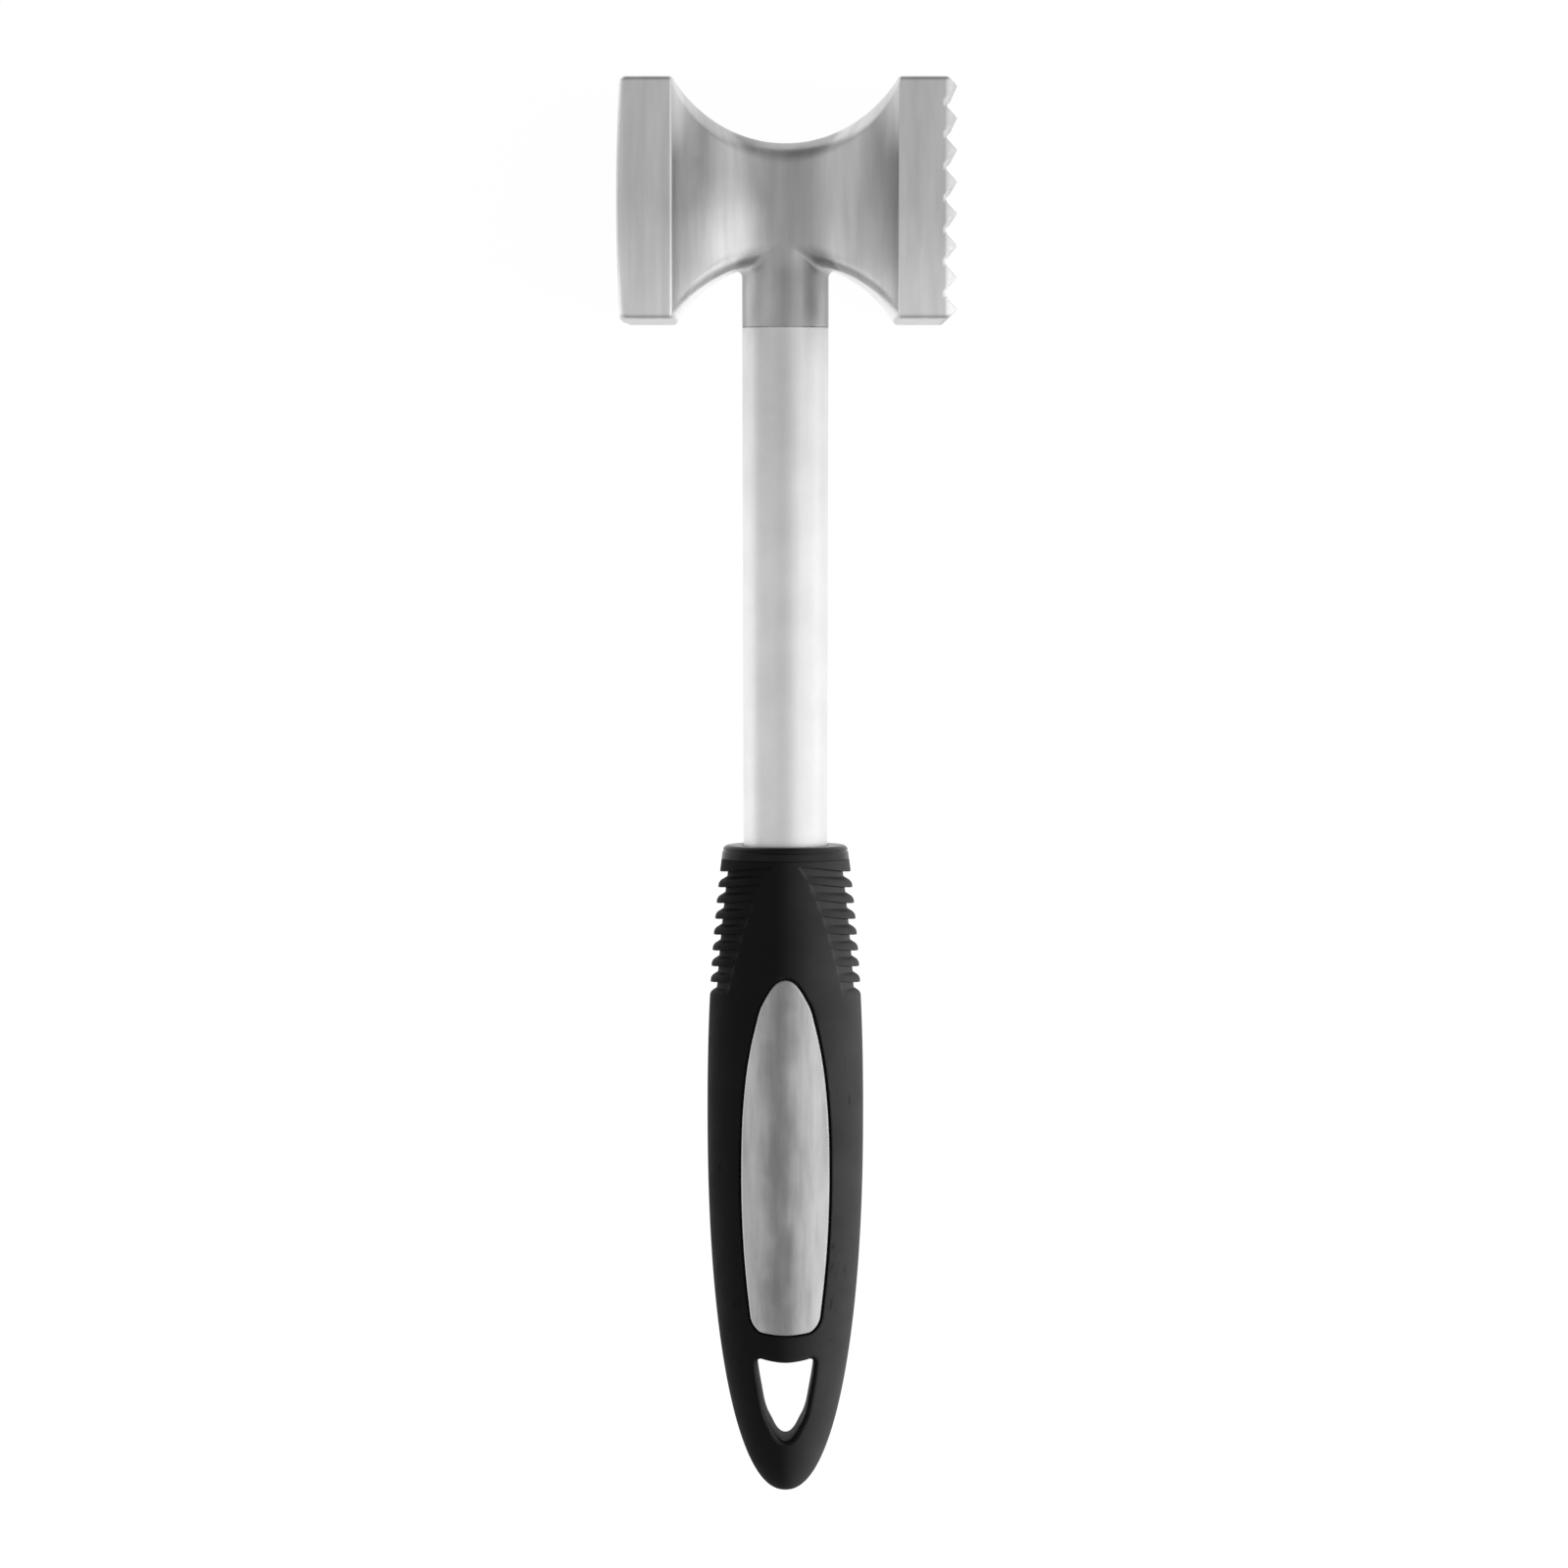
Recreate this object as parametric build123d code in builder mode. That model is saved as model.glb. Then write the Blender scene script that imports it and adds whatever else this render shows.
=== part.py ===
"""Meat mallet: hourglass aluminium head, round stem and rubber-covered grip.

Sizes are in millimetres. +Y runs along the tool from the grip to the head, +X points
out of the toothed face and +Z out of the badge side. The head's back edges lie on Z = 0.
"""
import os
from math import radians, sin, sqrt

from build123d import *

os.makedirs("parts", exist_ok=True)

# Whole tool
OVERALL_LENGTH = 250.0
FACE_SIZE = 42.0
HALF_FACE = FACE_SIZE / 2
AXIS_Z = HALF_FACE
TOP_Y = OVERALL_LENGTH / 2
TIP_Y = -TOP_Y
HEAD_Y = TOP_Y - HALF_FACE

# Head: two square ends joined by a waist that is hollowed on all four sides
HALF_HEAD_LENGTH = 29.8
WAIST_END_X = 19.75
WAIST_HALF_HEIGHT = 10.3
WAIST_HALF_DEPTH = 7.8
WAIST_CORNER = 4.0
WAIST_STEPS = 5
END_CORNER = 0.8
EDGE_ROUND = 0.7
RIM_ROUND = 0.5
FACE_CROWN_RADIUS = 350.0
TEETH = 8
TOOTH_PITCH = 5.5
TOOTH_TIP = 0.25
TOOTH_VALLEY_RADIUS = 1.5
TOOTH_FLANK_ANGLE = 45.0

# Neck boss under the waist, and the socket for the stem
NECK_END_Y = 82.0
NECK_RADIUS = 7.65
NECK_FLARE = ((NECK_END_Y, 0.0), (88.0, 0.1), (91.0, 0.45), (93.0, 1.2), (95.0, 2.6), (98.5, 2.6))
SOCKET_RADIUS = 5.0
SOCKET_DEPTH = 13.0

# Stem
STEM_END_RADIUS = 7.45
SPIGOT_LENGTH = 12.5
SPIGOT_CHAMFER = 0.5
TANG_RADIUS = 5.0
TANG_END_Y = -90.0
TANG_CHAMFER = 1.0
TANG_END_GAP = 1.0
SEAT_CLEARANCE = 0.05

# Grip outline: a superellipse towards the tip, a gentle taper towards the collar
GRIP_WIDEST_Y = -57.0
GRIP_HALF_WIDTH = 13.87
GRIP_EXPONENT = 2.2
COLLAR_TOP_Y = -9.6
SLEEVE_TOP_Y = -12.05
TAPER_DROP = 2.52
TAPER_EXPONENT = 2.25
DEPTH_RATIO = 0.80
COLLAR_EXTRA_RATIO = 0.10
LAST_ANGLE = 87.0
NOSE_LENGTH = (GRIP_WIDEST_Y - TIP_Y) / sin(radians(LAST_ANGLE)) ** (2 / GRIP_EXPONENT)
TAPER_STEPS = 7
NOSE_STEPS = 14
SLEEVE_WALL = 2.0

# Collar
COLLAR_COUNTERBORE = 1.5
COLLAR_ROUND = 0.9
PARTING_ROUND = 0.2
PLUG_RADIUS = 7.0
PLUG_END_Y = -20.0

# Barbed ribs, which run out at a smooth tongue down the front and the back
RIB_COUNT = 8
FIRST_RIB_Y = -14.3
RIB_PITCH = 2.807
GROOVE_DEPTH = 1.56
GROOVE_FLOOR = 0.8
GROOVE_FLANK = 1.0
GROOVE_OVERRUN = 0.02
TONGUE_TIP_Y = -13.6
TONGUE_LENGTH = 20.4
TONGUE_HALF_WIDTH = 9.4
TONGUE_EXPONENT = 0.55

# Badge; its side runs through (share of the half width, distance below the tip)
BADGE_TIP_Y = -32.8
BADGE_SIDE = (
    (0.515, 4.3), (0.688, 8.75), (0.828, 14.0), (0.948, 22.0), (1.0, 33.5), (0.92, 50.5),
)
BADGE_HALF_WIDTH = 7.87
BADGE_END_Y = -96.1
BADGE_END_SHARE = 0.76
BADGE_END_LEAN = (-0.13, -1)
BADGE_END_SAG = 0.9
BADGE_CORNER = 1.8
BADGE_PROUD = 0.15
BADGE_THICKNESS = 0.9
PAD_THICKNESS = 0.3
PAD_INSET = 0.5
WINDOW_GAP = 0.2

# Hang hole, a rounded triangle that points to the tip; its side runs through
# (share of the half width, share of the length)
HOLE_TOP_Y = -100.3
HOLE_SIDE = ((0.86, 0.4), (0.545, 0.79))
HOLE_SIDE_LEAN = (-0.05, -1)
HOLE_END_Y = -115.4
HOLE_HALF_WIDTH = 5.05
HOLE_TOP_SAG = 0.8
HOLE_CORNER = 0.5
HOLE_LINING = 1.6

# Screws through the core into the tang
SCREW_STATIONS = (-48.0, -80.0)
SCREW_TOP_Z = 29.9
SCREW_END_Z = 14.5
SCREW_RADIUS = 2.0
SCREW_HEAD_RADIUS = 3.75
SCREW_HEAD_HEIGHT = 2.0
SCREW_HEAD_RIM = 0.25
SCREW_CHAMFER = 0.5
SCREW_SOCKET_FLAT = 1.25
SCREW_SOCKET_DEPTH = 1.2

# Reach of the cuts that pass through everything, and the step past a face that is cut away
CUT = 60.0
OVERRUN = 1.0
TOLERANCE = 0.01
TOOL_AXIS = Axis((0, 0, AXIS_Z), (0, 1, 0))


def side_plane(x):
    """Plane across the head at x, with its own x along +Y and its own y along +Z."""
    return Plane(origin=(x, HEAD_Y, AXIS_Z), x_dir=(0, 1, 0), z_dir=(1, 0, 0))


def cross_plane(y):
    """Plane across the tool's axis at y, facing the head."""
    return Plane(origin=(0, y, AXIS_Z), x_dir=(1, 0, 0), z_dir=(0, 1, 0))


def waist_arc(x, half_waist):
    """Half size of the waist at x, on the arc from half_waist to the end's full size."""
    rise = HALF_FACE - half_waist
    radius = (rise**2 + WAIST_END_X**2) / (2 * rise)
    return half_waist + radius - sqrt(radius**2 - x**2)


def half_width(y, inset=0.0):
    """Half width of the grip at y, drawn in by inset."""
    widest = GRIP_HALF_WIDTH - inset
    if y >= GRIP_WIDEST_Y:
        share = (y - GRIP_WIDEST_Y) / (SLEEVE_TOP_Y - GRIP_WIDEST_Y)
        return widest - TAPER_DROP * share**TAPER_EXPONENT
    share = (GRIP_WIDEST_Y - y) / (NOSE_LENGTH - inset)
    return widest * (1 - share**GRIP_EXPONENT) ** (1 / GRIP_EXPONENT)


def half_depth(y, inset=0.0):
    """Half depth of the grip at y, drawn in by inset."""
    share = max(0.0, (y - GRIP_WIDEST_Y) / (SLEEVE_TOP_Y - GRIP_WIDEST_Y))
    ratio = DEPTH_RATIO + COLLAR_EXTRA_RATIO * share**2
    if y >= GRIP_WIDEST_Y:
        return half_width(y) * ratio - inset
    return half_width(y, inset) * (GRIP_HALF_WIDTH * ratio - inset) / (GRIP_HALF_WIDTH - inset)


def grip_body(inset=0.0):
    """Solid through the grip's elliptical sections, drawn in by inset."""
    stations = [
        SLEEVE_TOP_Y + (GRIP_WIDEST_Y - SLEEVE_TOP_Y) * step / TAPER_STEPS
        for step in range(TAPER_STEPS + 1)
    ]
    for step in range(1, NOSE_STEPS + 1):
        angle = radians(LAST_ANGLE * step / NOSE_STEPS)
        stations.append(GRIP_WIDEST_Y - (NOSE_LENGTH - inset) * sin(angle) ** (2 / GRIP_EXPONENT))
    with BuildPart() as body:
        for y in stations:
            with BuildSketch(cross_plane(y)):
                Ellipse(half_width(y, inset), half_depth(y, inset))
        loft()
    return body.part


def badge_face(grow=0.0):
    """Badge outline: a rounded point towards the head and a shallow arc at the other end."""
    widest = BADGE_HALF_WIDTH + grow
    tip_y = BADGE_TIP_Y + grow
    end_y = BADGE_END_Y - grow
    corner_y = end_y + BADGE_END_SAG
    with BuildSketch(Plane.XY.offset(AXIS_Z)) as outline:
        with BuildLine():
            side = Spline(
                (0, tip_y),
                *((share * widest, tip_y - below) for share, below in BADGE_SIDE),
                (BADGE_END_SHARE * widest, corner_y),
                tangents=((1, 0), BADGE_END_LEAN),
                tangent_scalars=(1, 1),
            )
            mirror(about=Plane.YZ)
            ThreePointArc(side @ 1, (0, end_y), (-(side @ 1).X, corner_y))
        make_face()
        fillet(outline.vertices().group_by(Axis.Y)[0], BADGE_CORNER + grow)
    return outline.sketch


def hole_face(grow=0.0):
    """Hang hole outline: a sagging top edge and two sides that meet in a round bottom."""
    widest = HOLE_HALF_WIDTH + grow
    top_y = HOLE_TOP_Y + grow
    end_y = HOLE_END_Y - grow
    with BuildSketch(Plane.XY.offset(AXIS_Z)) as outline:
        with BuildLine():
            side = Spline(
                (widest, top_y),
                *((across * widest, top_y - down * (top_y - end_y)) for across, down in HOLE_SIDE),
                (0, end_y),
                tangents=(HOLE_SIDE_LEAN, (-1, 0)),
                tangent_scalars=(1, 1),
            )
            mirror(about=Plane.YZ)
            ThreePointArc(side @ 0, (0, top_y - HOLE_TOP_SAG), (-(side @ 0).X, top_y))
        make_face()
        fillet(outline.vertices().group_by(Axis.Y)[-1], HOLE_CORNER + grow)
    return outline.sketch


def tooth_grooves(plane):
    """Row of round-bottomed V grooves between the teeth, cut along the plane's normal."""
    tip_half = TOOTH_PITCH / 2 - TOOTH_TIP / 2
    tangent = TOOTH_VALLEY_RADIUS * sin(radians(TOOTH_FLANK_ANGLE))
    valley_x = HALF_HEAD_LENGTH - tip_half + tangent
    bottom_x = HALF_HEAD_LENGTH - tip_half + TOOTH_VALLEY_RADIUS * (sqrt(2) - 1)
    with BuildPart() as grooves:
        with BuildSketch(plane):
            for index in range(TEETH + 1):
                middle = (index - TEETH / 2) * TOOTH_PITCH
                with BuildLine():
                    Polyline(
                        (valley_x, middle - tangent),
                        (HALF_HEAD_LENGTH, middle - tip_half),
                        (HALF_HEAD_LENGTH + OVERRUN, middle - tip_half),
                        (HALF_HEAD_LENGTH + OVERRUN, middle + tip_half),
                        (HALF_HEAD_LENGTH, middle + tip_half),
                        (valley_x, middle + tangent),
                    )
                    ThreePointArc(
                        (valley_x, middle + tangent), (bottom_x, middle), (valley_x, middle - tangent)
                    )
                make_face()
        extrude(amount=FACE_SIZE, both=True)
    return grooves.part


def rib_groove(top_y):
    """Barbed groove: flat under the rib above, then a slope out to the next rib's rim."""
    floor_width = half_width(top_y) - GROOVE_DEPTH
    tongue = TONGUE_HALF_WIDTH * ((TONGUE_TIP_Y - top_y) / TONGUE_LENGTH) ** TONGUE_EXPONENT
    run_out = (1 - (tongue / floor_width) ** 2) / (1 - (tongue / half_width(top_y)) ** 2)
    floor_depth = half_depth(top_y) / sqrt(run_out)
    rim_y = top_y - GROOVE_FLOOR - GROOVE_FLANK
    flare = half_width(rim_y) + GROOVE_OVERRUN - floor_width
    with BuildPart() as groove:
        with BuildSketch(cross_plane(top_y)):
            Rectangle(CUT, CUT)
        extrude(amount=rim_y - top_y)
        for y in (top_y, top_y - GROOVE_FLOOR):
            with BuildSketch(cross_plane(y)):
                Ellipse(floor_width, floor_depth)
        with BuildSketch(cross_plane(rim_y)):
            Ellipse(floor_width + flare, floor_depth + flare)
        loft(ruled=True, mode=Mode.SUBTRACT)
    return groove.part


def screw_body(y, clearance=0.0):
    """Countersunk screw shape on a Z axis at y, grown by clearance for its hole."""
    shank = SCREW_RADIUS + clearance
    head = SCREW_HEAD_RADIUS + clearance
    neck_z = SCREW_TOP_Z - SCREW_HEAD_HEIGHT
    with BuildPart() as screw:
        with BuildSketch(Plane.XZ.offset(-y)):
            with BuildLine():
                Polyline(
                    (0, SCREW_END_Z - clearance),
                    (shank - SCREW_CHAMFER, SCREW_END_Z - clearance),
                    (shank, SCREW_END_Z + SCREW_CHAMFER),
                    (shank, neck_z),
                    (head, SCREW_TOP_Z - SCREW_HEAD_RIM),
                    (head, SCREW_TOP_Z + clearance),
                    (0, SCREW_TOP_Z + clearance),
                    close=True,
                )
            make_face()
        revolve(axis=Axis((0, y, 0), (0, 0, 1)))
    return screw.part


# Head
with BuildPart() as mallet_head:
    with BuildSketch(side_plane(-HALF_HEAD_LENGTH)):
        RectangleRounded(FACE_SIZE, FACE_SIZE, END_CORNER)
    extrude(amount=HALF_HEAD_LENGTH - WAIST_END_X)
    with Locations((FACE_CROWN_RADIUS - HALF_HEAD_LENGTH, HEAD_Y, AXIS_Z)):
        Sphere(FACE_CROWN_RADIUS, mode=Mode.INTERSECT)
    fillet(mallet_head.faces().sort_by(Axis.X)[0].edges(), EDGE_ROUND)
    with BuildSketch(side_plane(WAIST_END_X)):
        RectangleRounded(FACE_SIZE, FACE_SIZE, END_CORNER)
    extrude(amount=HALF_HEAD_LENGTH - WAIST_END_X)
    for direction in ((0, 0, 1), (0, -1, 0)):
        head_middle = Plane(origin=(0, HEAD_Y, AXIS_Z), x_dir=(1, 0, 0), z_dir=direction)
        add(tooth_grooves(head_middle), mode=Mode.SUBTRACT)
    for step in range(-WAIST_STEPS, WAIST_STEPS + 1):
        x = WAIST_END_X * sin(radians(90 * step / WAIST_STEPS))
        corner = END_CORNER + (WAIST_CORNER - END_CORNER) * (1 - (x / WAIST_END_X) ** 2)
        with BuildSketch(side_plane(x)):
            RectangleRounded(
                2 * waist_arc(x, WAIST_HALF_HEIGHT), 2 * waist_arc(x, WAIST_HALF_DEPTH), corner
            )
    loft()
    for rim_x in (-WAIST_END_X, WAIST_END_X):
        rim = mallet_head.edges().filter_by_position(Axis.X, rim_x - TOLERANCE, rim_x + TOLERANCE)
        fillet(rim, RIM_ROUND)
    for y, flare in NECK_FLARE:
        with BuildSketch(cross_plane(y)):
            Ellipse(NECK_RADIUS + flare, NECK_RADIUS)
    loft()
    with BuildSketch(cross_plane(NECK_END_Y)):
        Circle(SOCKET_RADIUS)
    extrude(amount=SOCKET_DEPTH, mode=Mode.SUBTRACT)

# Stem with its spigot and tang
with BuildPart() as stem:
    with BuildSketch(Plane.XY.offset(AXIS_Z)):
        with BuildLine():
            spigot = SOCKET_RADIUS - SEAT_CLEARANCE
            shoulder_y = COLLAR_TOP_Y - COLLAR_COUNTERBORE
            Polyline(
                (0, NECK_END_Y + SPIGOT_LENGTH),
                (spigot - SPIGOT_CHAMFER, NECK_END_Y + SPIGOT_LENGTH),
                (spigot, NECK_END_Y + SPIGOT_LENGTH - SPIGOT_CHAMFER),
                (spigot, NECK_END_Y),
                (NECK_RADIUS, NECK_END_Y),
                (STEM_END_RADIUS, COLLAR_TOP_Y),
                (STEM_END_RADIUS, shoulder_y),
                (TANG_RADIUS, shoulder_y),
                (TANG_RADIUS, TANG_END_Y + TANG_CHAMFER),
                (TANG_RADIUS - TANG_CHAMFER, TANG_END_Y),
                (0, TANG_END_Y),
                close=True,
            )
        make_face()
    revolve(axis=TOOL_AXIS)
    for y in SCREW_STATIONS:
        add(screw_body(y, SEAT_CLEARANCE), mode=Mode.SUBTRACT)

# Collar: outer ring, seat for the stem's shoulder and plug into the core
with BuildPart() as grip_collar:
    for y in (COLLAR_TOP_Y, SLEEVE_TOP_Y):
        with BuildSketch(cross_plane(y)):
            Ellipse(half_width(y), half_depth(y))
    loft()
    fillet(grip_collar.edges().group_by(Axis.Y)[-1], COLLAR_ROUND)
    fillet(grip_collar.edges().group_by(Axis.Y)[0], PARTING_ROUND)
    with BuildSketch(cross_plane(SLEEVE_TOP_Y)):
        Circle(PLUG_RADIUS)
    extrude(amount=PLUG_END_Y - SLEEVE_TOP_Y)
    with BuildSketch(cross_plane(COLLAR_TOP_Y)):
        Circle(STEM_END_RADIUS + SEAT_CLEARANCE)
    extrude(amount=-COLLAR_COUNTERBORE, mode=Mode.SUBTRACT)
    with BuildSketch(cross_plane(COLLAR_TOP_Y)):
        Circle(TANG_RADIUS + SEAT_CLEARANCE)
    extrude(amount=PLUG_END_Y - COLLAR_TOP_Y, mode=Mode.SUBTRACT)

# Core blank: the space that the rubber is moulded round
with BuildPart() as core_blank:
    add(grip_body(SLEEVE_WALL))
    extrude(hole_face(HOLE_LINING), amount=CUT, both=True, mode=Mode.SUBTRACT)

badge_seat_inset = BADGE_THICKNESS - BADGE_PROUD + PAD_THICKNESS

# Raised seat for the badge on the front of the core
with BuildPart() as badge_seat:
    extrude(badge_face(WINDOW_GAP), amount=CUT)
    add(grip_body(badge_seat_inset), mode=Mode.INTERSECT)

with BuildPart() as grip_core:
    add(core_blank.part)
    add(badge_seat.part)
    with BuildSketch(cross_plane(SLEEVE_TOP_Y)):
        Circle(PLUG_RADIUS + SEAT_CLEARANCE)
    extrude(amount=PLUG_END_Y - SLEEVE_TOP_Y, mode=Mode.SUBTRACT)
    with BuildSketch(cross_plane(SLEEVE_TOP_Y)):
        Circle(TANG_RADIUS + SEAT_CLEARANCE)
    extrude(amount=TANG_END_Y - TANG_END_GAP - SLEEVE_TOP_Y, mode=Mode.SUBTRACT)
    for y in SCREW_STATIONS:
        add(screw_body(y, 2 * SEAT_CLEARANCE), mode=Mode.SUBTRACT)
        with BuildSketch(Plane.XY.offset(SCREW_TOP_Z)):
            with Locations((0, y)):
                Circle(SCREW_HEAD_RADIUS + 2 * SEAT_CLEARANCE)
        extrude(amount=CUT, mode=Mode.SUBTRACT)

# Rubber sleeve
with BuildPart() as grip_sleeve:
    add(grip_body())
    extrude(hole_face(), amount=CUT, both=True, mode=Mode.SUBTRACT)
    add(core_blank.part, mode=Mode.SUBTRACT)
    extrude(badge_face(WINDOW_GAP), amount=CUT, mode=Mode.SUBTRACT)
    for index in range(RIB_COUNT):
        add(rib_groove(FIRST_RIB_Y - index * RIB_PITCH), mode=Mode.SUBTRACT)

# Badge and its adhesive pad
with BuildPart() as badge:
    extrude(badge_face(), amount=CUT)
    add(grip_body(-BADGE_PROUD), mode=Mode.INTERSECT)
    add(grip_body(BADGE_THICKNESS - BADGE_PROUD), mode=Mode.SUBTRACT)

with BuildPart() as badge_pad:
    extrude(badge_face(-PAD_INSET), amount=CUT)
    add(grip_body(BADGE_THICKNESS - BADGE_PROUD), mode=Mode.INTERSECT)
    add(grip_body(badge_seat_inset), mode=Mode.SUBTRACT)

# Tang screws, with hexagon sockets
with BuildPart() as tang_screws:
    for y in SCREW_STATIONS:
        add(screw_body(y))
        with BuildSketch(Plane.XY.offset(SCREW_TOP_Z)):
            with Locations((0, y)):
                RegularPolygon(SCREW_SOCKET_FLAT, 6, major_radius=False)
        extrude(amount=-SCREW_SOCKET_DEPTH, mode=Mode.SUBTRACT)

for name, piece in (
    ("mallet_head", mallet_head),
    ("stem", stem),
    ("grip_collar", grip_collar),
    ("grip_core", grip_core),
    ("grip_sleeve", grip_sleeve),
    ("badge", badge),
    ("badge_pad", badge_pad),
    ("tang_screws", tang_screws),
):
    piece.part.label = name
    export_step(piece.part, f"parts/{name}.step")
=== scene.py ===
"""Meat mallet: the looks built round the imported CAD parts.

The shape functions work in millimetres in the row frame; make_piece() writes metres.
"""
from math import pi, radians

import bmesh
import bpy
import numpy as np
from mathutils import Matrix, Vector


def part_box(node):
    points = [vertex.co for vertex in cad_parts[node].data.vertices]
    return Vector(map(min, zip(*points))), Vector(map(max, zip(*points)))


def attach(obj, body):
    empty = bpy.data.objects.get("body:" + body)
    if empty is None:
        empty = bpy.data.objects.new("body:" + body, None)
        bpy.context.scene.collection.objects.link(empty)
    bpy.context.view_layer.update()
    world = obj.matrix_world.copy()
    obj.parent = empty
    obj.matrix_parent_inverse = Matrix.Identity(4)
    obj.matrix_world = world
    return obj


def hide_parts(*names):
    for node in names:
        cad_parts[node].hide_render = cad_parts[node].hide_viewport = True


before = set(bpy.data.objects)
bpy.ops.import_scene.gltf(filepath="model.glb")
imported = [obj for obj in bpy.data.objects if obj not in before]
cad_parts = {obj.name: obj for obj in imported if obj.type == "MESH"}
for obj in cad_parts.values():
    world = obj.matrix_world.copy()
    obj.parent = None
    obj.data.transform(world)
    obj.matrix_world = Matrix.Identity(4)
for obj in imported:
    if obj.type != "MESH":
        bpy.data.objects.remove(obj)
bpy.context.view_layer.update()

MM = 0.001


def box_mm(node):
    """Lowest and highest corner of a CAD node in millimetres."""
    low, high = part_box(node)
    return low / MM, high / MM


head_low, head_high = box_mm("mallet_head")
stem_low, stem_high = box_mm("stem")
sleeve_low, sleeve_high = box_mm("grip_sleeve")
badge_low, badge_high = box_mm("badge")

# Head, from the frame
HALF_FACE = (head_high.z - head_low.z) / 2
AXIS_Z = head_low.z + HALF_FACE
HEAD_Y = head_high.y - HALF_FACE
LENGTH_MARGIN = 0.01
HALF_HEAD_LENGTH = (head_high.x - head_low.x) / 2 - LENGTH_MARGIN
NECK_END_Y = head_low.y

# Head, its own shape
WAIST_END_X = 19.75
WAIST_HALF_HEIGHT = 10.3
WAIST_HALF_DEPTH = 7.8
WAIST_CORNER = 4.0
END_CORNER = 0.8
FACE_EDGE = 0.8
RIM_ROUND = 0.35
FACE_CROWN_RADIUS = 350.0
TEETH = 8
TOOTH_PITCH = 5.5
TOOTH_TIP = 0.25
TOOTH_VALLEY_RADIUS = 1.5
TOOTH_EDGE = 0.12
TEETH_RIM = 0.3
NECK_RADIUS = (stem_high.x - stem_low.x) / 2
NECK_TOP_DROP = 4.0
NECK_BLEND = 1.6
NECK_FRONT_BLEND = 0.3
NECK_FRONT_X = (2.5, 7.5)

# Stem
SEAM_CHAMFER = 0.05
STEM_END_RADIUS = 7.45
STEM_SEAT_DEPTH = 1.5
SPIGOT_RADIUS = 4.95
SPIGOT_CHAMFER = 0.5
TANG_RADIUS = 5.0
TANG_CHAMFER = 1.0

# Grip, from the frame
SLEEVE_TOP_Y = sleeve_high.y
GRIP_HALF_WIDTH = (sleeve_high.x - sleeve_low.x) / 2
TIP_Y = sleeve_low.y
COLLAR_TOP_Y = box_mm("grip_collar")[1].y

# Grip, its own shape
GRIP_WIDEST_Y = -57.0
GRIP_EXPONENT = 2.2
TAPER_DROP = 2.52
TAPER_EXPONENT = 2.25
DEPTH_RATIO = 0.80
COLLAR_EXTRA_RATIO = 0.10
SLEEVE_WALL = 2.0
PARTING_ROUND = 0.14
COLLAR_ROUND = 0.9
COLLAR_LINE_DROP = 0.95
COLLAR_LINE_WIDTH = 0.16
COLLAR_LINE_DEPTH = 0.2
COLLAR_BORE_GAP = 0.02
COLLAR_BORE_ROUND = 0.15
RIB_COUNT = 8
FIRST_RIB_Y = -14.3
RIB_PITCH = 2.807
RIB_ARCH = 1.4
GROOVE_DEPTH = 1.56
GROOVE_FLOOR = 0.8
GROOVE_FLANK = 1.0
GROOVE_ROUND = 0.12
GROOVE_FADE_EXPONENT = 0.7
FADED_FLOOR_EXTRA = 0.65
FADED_FLANK_SHARE = 0.45
FADED_LIFT = 0.6
FADED_LIFT_END = 0.12
RIB_TIP_ROUND = 0.12
RIB_BACK_EXTRA_ROUND = 0.35
RIB_BACK_START = (0.6, 1.4)
TONGUE_TIP_Y = -13.6
TONGUE_LENGTH = 20.4
TONGUE_HALF_WIDTH = 9.4
TONGUE_EXPONENT = 0.55

# Badge and hang hole. A side's points are (share of the half width, distance below the
# tip), the badge's last ones (share, height above the end), the hole's (share, share of
# the length)
BADGE_PROUD = 0.15
BADGE_THICKNESS = 0.9
BADGE_EDGE = 0.4
BADGE_BACK_EDGE = 0.1
BADGE_SIDE = (
    (0.515, 4.3), (0.688, 8.75), (0.828, 14.0), (0.948, 22.0), (1.0, 33.5), (0.92, 50.5),
)
BADGE_SIDE_END = (0.79, 3.1)
BADGE_END_START = (0.52, 0.45)
WINDOW_GAP = 0.2
WINDOW_LIP = 0.35
HIDDEN_DEPTH = 0.1
HOLE_TOP_Y = -100.3
HOLE_END_Y = -115.4
HOLE_HALF_WIDTH = 5.05
HOLE_TOP_SAG = 0.8
HOLE_SIDE = ((0.86, 0.4), (0.545, 0.79))
HOLE_CORNER = (0.86, 0.14)
HOLE_SIDE_DROP = 0.8
HOLE_LINING = 1.6
HOLE_ROUND = 1.1

# Grid lines of the grip. The badge's sides and then the hole's lie at one turn, with a
# least half width past their ends; over the ribs the lines arch. Stations are in -Y.
OPENING_TURN = 0.6
OPENING_CHANGE = (94.0, 101.0)
OPENING_LEAST = 4.0
OPENING_LEAST_DROP = 1.6
OPENING_LEAST_CHANGE = (100.0, 112.0)
ARCH_START = (12.2, 14.2)
ARCH_END = (37.0, 46.0)
NOSE_SEAM_Y = -98.4
NOSE_LAP = 0.04
NOSE_LAP_RUN = 0.5
FARTHEST_MOVE = 0.12
LEAST_SLOPE = 0.05


# ---------------------------------------------------------------- fields


def round_both(a, b, radius):
    """Field of what lies inside both a and b, with the edge between them rounded."""
    outside = np.hypot(np.maximum(a + radius, 0), np.maximum(b + radius, 0))
    return np.minimum(np.maximum(a, b), -radius) + outside


def round_either(a, b, radius):
    """Field of what lies inside a or b, with a fillet between them."""
    inside = np.hypot(np.maximum(radius - a, 0), np.maximum(radius - b, 0))
    return np.maximum(np.minimum(a, b), radius) - inside


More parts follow.
